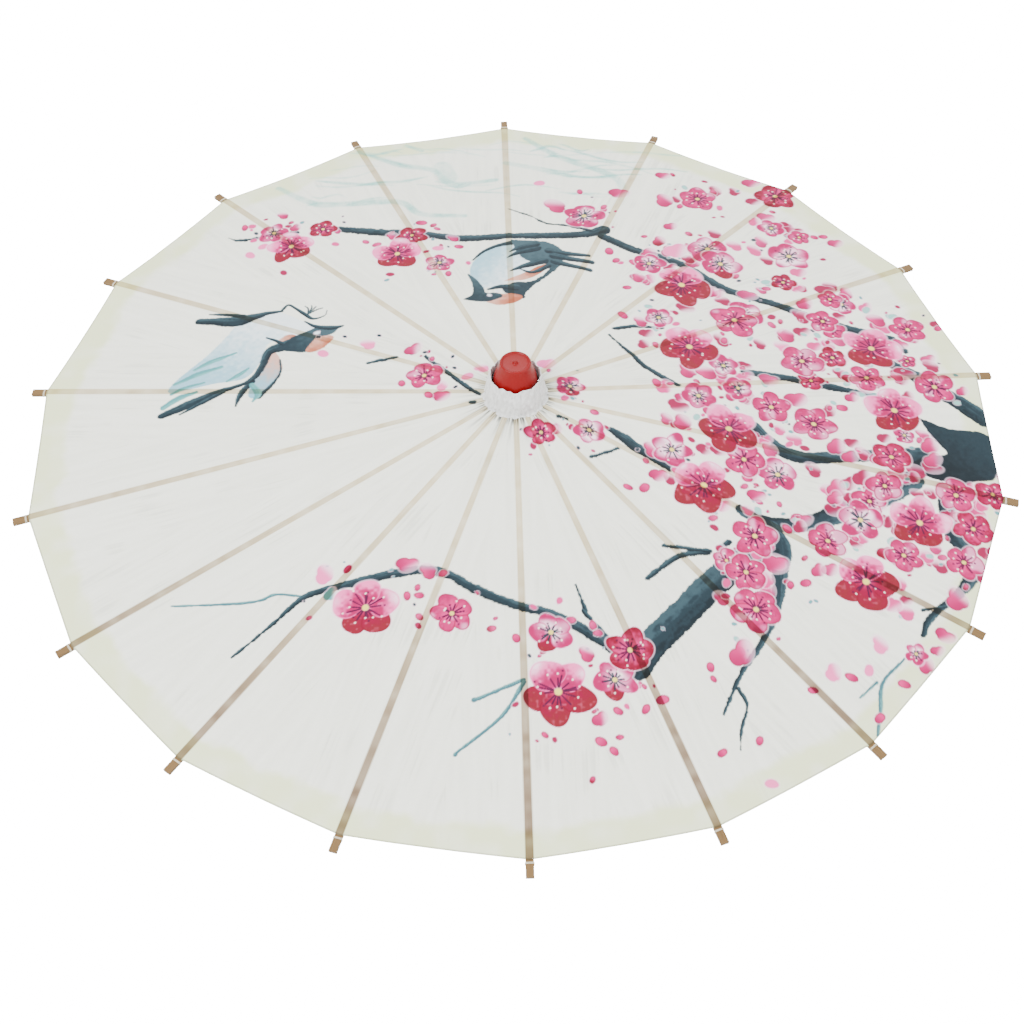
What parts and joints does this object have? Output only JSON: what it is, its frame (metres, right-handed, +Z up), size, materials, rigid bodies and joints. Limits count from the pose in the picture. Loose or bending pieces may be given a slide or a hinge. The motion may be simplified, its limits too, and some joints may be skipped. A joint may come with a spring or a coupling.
{
  "type": "oil paper umbrella",
  "caption": "Open paper parasol: split bamboo ribs and stretchers under a low cone of printed oiled paper, with a slotted notch and runner on a bamboo shaft, a paper collar and a red cap.",
  "frame": {"origin": "centre of the shaft's lower end", "axes": "+Z up the shaft to the crown; +Y along one rib, so -Y is along the opposite one"},
  "size_m": [0.8386, 0.8504, 0.536],
  "materials": {
    "bamboo": "split and scraped bamboo, satin",
    "bamboo_shaft": "smooth bamboo, lightly varnished",
    "turned_wood": "turned pale wood, satin",
    "oiled_paper": "oiled mulberry paper with a printed blossom pattern",
    "collar_paper": "stiff white gathered paper",
    "red_cap": "glossy red",
    "spring_steel": "plain spring steel"
  },
  "bodies": {
    "root": {"shaft": "bamboo_shaft", "top_notch": "turned_wood", "crown_collar": "collar_paper", "finial_cap": "red_cap"},
    "runner": {"runner": "turned_wood"},
    "catch": {"catch": "spring_steel"},
    "rib_01": {"rib_01": "bamboo", "canopy_gore_01": "oiled_paper"},
    "stretcher_01": {"stretcher_01": "bamboo"},
    "rib_02": {"rib_02": "bamboo", "canopy_gore_02": "oiled_paper"},
    "stretcher_02": {"stretcher_02": "bamboo"},
    "rib_03": {"rib_03": "bamboo", "canopy_gore_03": "oiled_paper"},
    "stretcher_03": {"stretcher_03": "bamboo"},
    "rib_04": {"rib_04": "bamboo", "canopy_gore_04": "oiled_paper"},
    "stretcher_04": {"stretcher_04": "bamboo"},
    "rib_05": {"rib_05": "bamboo", "canopy_gore_05": "oiled_paper"},
    "stretcher_05": {"stretcher_05": "bamboo"},
    "rib_06": {"rib_06": "bamboo", "canopy_gore_06": "oiled_paper"},
    "stretcher_06": {"stretcher_06": "bamboo"},
    "rib_07": {"rib_07": "bamboo", "canopy_gore_07": "oiled_paper"},
    "stretcher_07": {"stretcher_07": "bamboo"},
    "rib_08": {"rib_08": "bamboo", "canopy_gore_08": "oiled_paper"},
    "stretcher_08": {"stretcher_08": "bamboo"},
    "rib_09": {"rib_09": "bamboo", "canopy_gore_09": "oiled_paper"},
    "stretcher_09": {"stretcher_09": "bamboo"},
    "rib_10": {"rib_10": "bamboo", "canopy_gore_10": "oiled_paper"},
    "stretcher_10": {"stretcher_10": "bamboo"},
    "rib_11": {"rib_11": "bamboo", "canopy_gore_11": "oiled_paper"},
    "stretcher_11": {"stretcher_11": "bamboo"},
    "rib_12": {"rib_12": "bamboo", "canopy_gore_12": "oiled_paper"},
    "stretcher_12": {"stretcher_12": "bamboo"},
    "rib_13": {"rib_13": "bamboo", "canopy_gore_13": "oiled_paper"},
    "stretcher_13": {"stretcher_13": "bamboo"},
    "rib_14": {"rib_14": "bamboo", "canopy_gore_14": "oiled_paper"},
    "stretcher_14": {"stretcher_14": "bamboo"},
    "rib_15": {"rib_15": "bamboo", "canopy_gore_15": "oiled_paper"},
    "stretcher_15": {"stretcher_15": "bamboo"},
    "rib_16": {"rib_16": "bamboo", "canopy_gore_16": "oiled_paper"},
    "stretcher_16": {"stretcher_16": "bamboo"},
    "rib_17": {"rib_17": "bamboo", "canopy_gore_17": "oiled_paper"},
    "stretcher_17": {"stretcher_17": "bamboo"},
    "rib_18": {"rib_18": "bamboo", "canopy_gore_18": "oiled_paper"},
    "stretcher_18": {"stretcher_18": "bamboo"}
  },
  "joints": [
    {"name": "canopy_fold", "type": "hinge", "parent": "root", "child": "rib_01", "pos_m": [0, 0.02, 0.495], "axis": [-1, 0, 0], "range_deg": [0, 76.5], "deforming": ["canopy_gore_01", "canopy_gore_02", "canopy_gore_03", "canopy_gore_04", "canopy_gore_05", "canopy_gore_06", "canopy_gore_07", "canopy_gore_08", "canopy_gore_09", "canopy_gore_10", "canopy_gore_11", "canopy_gore_12", "canopy_gore_13", "canopy_gore_14", "canopy_gore_15", "canopy_gore_16", "canopy_gore_17", "canopy_gore_18", "catch"]},
    {"name": "stretcher_01_swing", "type": "hinge", "parent": "rib_01", "child": "stretcher_01", "pos_m": [0, 0.18697, 0.46248], "axis": [-1, 0, 0], "range_deg": [-153, 0]},
    {"name": "rib_02_fold", "type": "hinge", "parent": "root", "child": "rib_02", "pos_m": [-0.00684, 0.01879, 0.495], "axis": [-0.9397, -0.342, 0], "range_deg": [0, 76.5]},
    {"name": "stretcher_02_swing", "type": "hinge", "parent": "rib_02", "child": "stretcher_02", "pos_m": [-0.06395, 0.17569, 0.46248], "axis": [-0.9397, -0.342, 0], "range_deg": [-153, 0]},
    {"name": "rib_03_fold", "type": "hinge", "parent": "root", "child": "rib_03", "pos_m": [-0.01286, 0.01532, 0.495], "axis": [-0.766, -0.6428, 0], "range_deg": [0, 76.5]},
    {"name": "stretcher_03_swing", "type": "hinge", "parent": "rib_03", "child": "stretcher_03", "pos_m": [-0.12018, 0.14323, 0.46248], "axis": [-0.766, -0.6428, 0], "range_deg": [-153, 0]},
    {"name": "rib_04_fold", "type": "hinge", "parent": "root", "child": "rib_04", "pos_m": [-0.01732, 0.01, 0.495], "axis": [-0.5, -0.866, 0], "range_deg": [0, 76.5]},
    {"name": "stretcher_04_swing", "type": "hinge", "parent": "rib_04", "child": "stretcher_04", "pos_m": [-0.16192, 0.09348, 0.46248], "axis": [-0.5, -0.866, 0], "range_deg": [-153, 0]},
    {"name": "rib_05_fold", "type": "hinge", "parent": "root", "child": "rib_05", "pos_m": [-0.0197, 0.00347, 0.495], "axis": [-0.1736, -0.9848, 0], "range_deg": [0, 76.5]},
    {"name": "stretcher_05_swing", "type": "hinge", "parent": "rib_05", "child": "stretcher_05", "pos_m": [-0.18413, 0.03247, 0.46248], "axis": [-0.1736, -0.9848, 0], "range_deg": [-153, 0]},
    {"name": "rib_06_fold", "type": "hinge", "parent": "root", "child": "rib_06", "pos_m": [-0.0197, -0.00347, 0.495], "axis": [0.1736, -0.9848, 0], "range_deg": [0, 76.5]},
    {"name": "stretcher_06_swing", "type": "hinge", "parent": "rib_06", "child": "stretcher_06", "pos_m": [-0.18413, -0.03247, 0.46248], "axis": [0.1736, -0.9848, 0], "range_deg": [-153, 0]},
    {"name": "rib_07_fold", "type": "hinge", "parent": "root", "child": "rib_07", "pos_m": [-0.01732, -0.01, 0.495], "axis": [0.5, -0.866, 0], "range_deg": [0, 76.5]},
    {"name": "stretcher_07_swing", "type": "hinge", "parent": "rib_07", "child": "stretcher_07", "pos_m": [-0.16192, -0.09348, 0.46248], "axis": [0.5, -0.866, 0], "range_deg": [-153, 0]},
    {"name": "rib_08_fold", "type": "hinge", "parent": "root", "child": "rib_08", "pos_m": [-0.01286, -0.01532, 0.495], "axis": [0.766, -0.6428, 0], "range_deg": [0, 76.5]},
    {"name": "stretcher_08_swing", "type": "hinge", "parent": "rib_08", "child": "stretcher_08", "pos_m": [-0.12018, -0.14323, 0.46248], "axis": [0.766, -0.6428, 0], "range_deg": [-153, 0]},
    {"name": "rib_09_fold", "type": "hinge", "parent": "root", "child": "rib_09", "pos_m": [-0.00684, -0.01879, 0.495], "axis": [0.9397, -0.342, 0], "range_deg": [0, 76.5]},
    {"name": "stretcher_09_swing", "type": "hinge", "parent": "rib_09", "child": "stretcher_09", "pos_m": [-0.06395, -0.17569, 0.46248], "axis": [0.9397, -0.342, 0], "range_deg": [-153, 0]},
    {"name": "rib_10_fold", "type": "hinge", "parent": "root", "child": "rib_10", "pos_m": [0, -0.02, 0.495], "axis": [1, 0, 0], "range_deg": [0, 76.5]},
    {"name": "stretcher_10_swing", "type": "hinge", "parent": "rib_10", "child": "stretcher_10", "pos_m": [0, -0.18697, 0.46248], "axis": [1, 0, 0], "range_deg": [-153, 0]},
    {"name": "rib_11_fold", "type": "hinge", "parent": "root", "child": "rib_11", "pos_m": [0.00684, -0.01879, 0.495], "axis": [0.9397, 0.342, 0], "range_deg": [0, 76.5]},
    {"name": "stretcher_11_swing", "type": "hinge", "parent": "rib_11", "child": "stretcher_11", "pos_m": [0.06395, -0.17569, 0.46248], "axis": [0.9397, 0.342, 0], "range_deg": [-153, 0]},
    {"name": "rib_12_fold", "type": "hinge", "parent": "root", "child": "rib_12", "pos_m": [0.01286, -0.01532, 0.495], "axis": [0.766, 0.6428, 0], "range_deg": [0, 76.5]},
    {"name": "stretcher_12_swing", "type": "hinge", "parent": "rib_12", "child": "stretcher_12", "pos_m": [0.12018, -0.14323, 0.46248], "axis": [0.766, 0.6428, 0], "range_deg": [-153, 0]},
    {"name": "rib_13_fold", "type": "hinge", "parent": "root", "child": "rib_13", "pos_m": [0.01732, -0.01, 0.495], "axis": [0.5, 0.866, 0], "range_deg": [0, 76.5]},
    {"name": "stretcher_13_swing", "type": "hinge", "parent": "rib_13", "child": "stretcher_13", "pos_m": [0.16192, -0.09348, 0.46248], "axis": [0.5, 0.866, 0], "range_deg": [-153, 0]},
    {"name": "rib_14_fold", "type": "hinge", "parent": "root", "child": "rib_14", "pos_m": [0.0197, -0.00347, 0.495], "axis": [0.1736, 0.9848, 0], "range_deg": [0, 76.5]},
    {"name": "stretcher_14_swing", "type": "hinge", "parent": "rib_14", "child": "stretcher_14", "pos_m": [0.18413, -0.03247, 0.46248], "axis": [0.1736, 0.9848, 0], "range_deg": [-153, 0]},
    {"name": "rib_15_fold", "type": "hinge", "parent": "root", "child": "rib_15", "pos_m": [0.0197, 0.00347, 0.495], "axis": [-0.1736, 0.9848, 0], "range_deg": [0, 76.5]},
    {"name": "stretcher_15_swing", "type": "hinge", "parent": "rib_15", "child": "stretcher_15", "pos_m": [0.18413, 0.03247, 0.46248], "axis": [-0.1736, 0.9848, 0], "range_deg": [-153, 0]},
    {"name": "rib_16_fold", "type": "hinge", "parent": "root", "child": "rib_16", "pos_m": [0.01732, 0.01, 0.495], "axis": [-0.5, 0.866, 0], "range_deg": [0, 76.5]},
    {"name": "stretcher_16_swing", "type": "hinge", "parent": "rib_16", "child": "stretcher_16", "pos_m": [0.16192, 0.09348, 0.46248], "axis": [-0.5, 0.866, 0], "range_deg": [-153, 0]},
    {"name": "rib_17_fold", "type": "hinge", "parent": "root", "child": "rib_17", "pos_m": [0.01286, 0.01532, 0.495], "axis": [-0.766, 0.6428, 0], "range_deg": [0, 76.5]},
    {"name": "stretcher_17_swing", "type": "hinge", "parent": "rib_17", "child": "stretcher_17", "pos_m": [0.12018, 0.14323, 0.46248], "axis": [-0.766, 0.6428, 0], "range_deg": [-153, 0]},
    {"name": "rib_18_fold", "type": "hinge", "parent": "root", "child": "rib_18", "pos_m": [0.00684, 0.01879, 0.495], "axis": [-0.9397, 0.342, 0], "range_deg": [0, 76.5]},
    {"name": "stretcher_18_swing", "type": "hinge", "parent": "rib_18", "child": "stretcher_18", "pos_m": [0.06395, 0.17569, 0.46248], "axis": [-0.9397, 0.342, 0], "range_deg": [-153, 0]},
    {"name": "runner_swing", "type": "hinge", "parent": "stretcher_01", "child": "runner", "pos_m": [0, 0.02, 0.42996], "axis": [-1, 0, 0], "range_deg": [0, 76.5]},
    {"name": "catch_press", "type": "hinge", "parent": "root", "child": "catch", "pos_m": [0.0035, 0, 0.35886], "axis": [0, -1, 0], "range_deg": [0, 5.5], "stiffness_Nm_per_rad": 0.3}
  ],
  "couplings": [
    {"joint": "stretcher_01_swing", "follows": "canopy_fold", "ratio": -2},
    {"joint": "rib_02_fold", "follows": "canopy_fold", "ratio": 1},
    {"joint": "stretcher_02_swing", "follows": "canopy_fold", "ratio": -2},
    {"joint": "rib_03_fold", "follows": "canopy_fold", "ratio": 1},
    {"joint": "stretcher_03_swing", "follows": "canopy_fold", "ratio": -2},
    {"joint": "rib_04_fold", "follows": "canopy_fold", "ratio": 1},
    {"joint": "stretcher_04_swing", "follows": "canopy_fold", "ratio": -2},
    {"joint": "rib_05_fold", "follows": "canopy_fold", "ratio": 1},
    {"joint": "stretcher_05_swing", "follows": "canopy_fold", "ratio": -2},
    {"joint": "rib_06_fold", "follows": "canopy_fold", "ratio": 1},
    {"joint": "stretcher_06_swing", "follows": "canopy_fold", "ratio": -2},
    {"joint": "rib_07_fold", "follows": "canopy_fold", "ratio": 1},
    {"joint": "stretcher_07_swing", "follows": "canopy_fold", "ratio": -2},
    {"joint": "rib_08_fold", "follows": "canopy_fold", "ratio": 1},
    {"joint": "stretcher_08_swing", "follows": "canopy_fold", "ratio": -2},
    {"joint": "rib_09_fold", "follows": "canopy_fold", "ratio": 1},
    {"joint": "stretcher_09_swing", "follows": "canopy_fold", "ratio": -2},
    {"joint": "rib_10_fold", "follows": "canopy_fold", "ratio": 1},
    {"joint": "stretcher_10_swing", "follows": "canopy_fold", "ratio": -2},
    {"joint": "rib_11_fold", "follows": "canopy_fold", "ratio": 1},
    {"joint": "stretcher_11_swing", "follows": "canopy_fold", "ratio": -2},
    {"joint": "rib_12_fold", "follows": "canopy_fold", "ratio": 1},
    {"joint": "stretcher_12_swing", "follows": "canopy_fold", "ratio": -2},
    {"joint": "rib_13_fold", "follows": "canopy_fold", "ratio": 1},
    {"joint": "stretcher_13_swing", "follows": "canopy_fold", "ratio": -2},
    {"joint": "rib_14_fold", "follows": "canopy_fold", "ratio": 1},
    {"joint": "stretcher_14_swing", "follows": "canopy_fold", "ratio": -2},
    {"joint": "rib_15_fold", "follows": "canopy_fold", "ratio": 1},
    {"joint": "stretcher_15_swing", "follows": "canopy_fold", "ratio": -2},
    {"joint": "rib_16_fold", "follows": "canopy_fold", "ratio": 1},
    {"joint": "stretcher_16_swing", "follows": "canopy_fold", "ratio": -2},
    {"joint": "rib_17_fold", "follows": "canopy_fold", "ratio": 1},
    {"joint": "stretcher_17_swing", "follows": "canopy_fold", "ratio": -2},
    {"joint": "rib_18_fold", "follows": "canopy_fold", "ratio": 1},
    {"joint": "stretcher_18_swing", "follows": "canopy_fold", "ratio": -2},
    {"joint": "runner_swing", "follows": "canopy_fold", "ratio": 1}
  ]
}
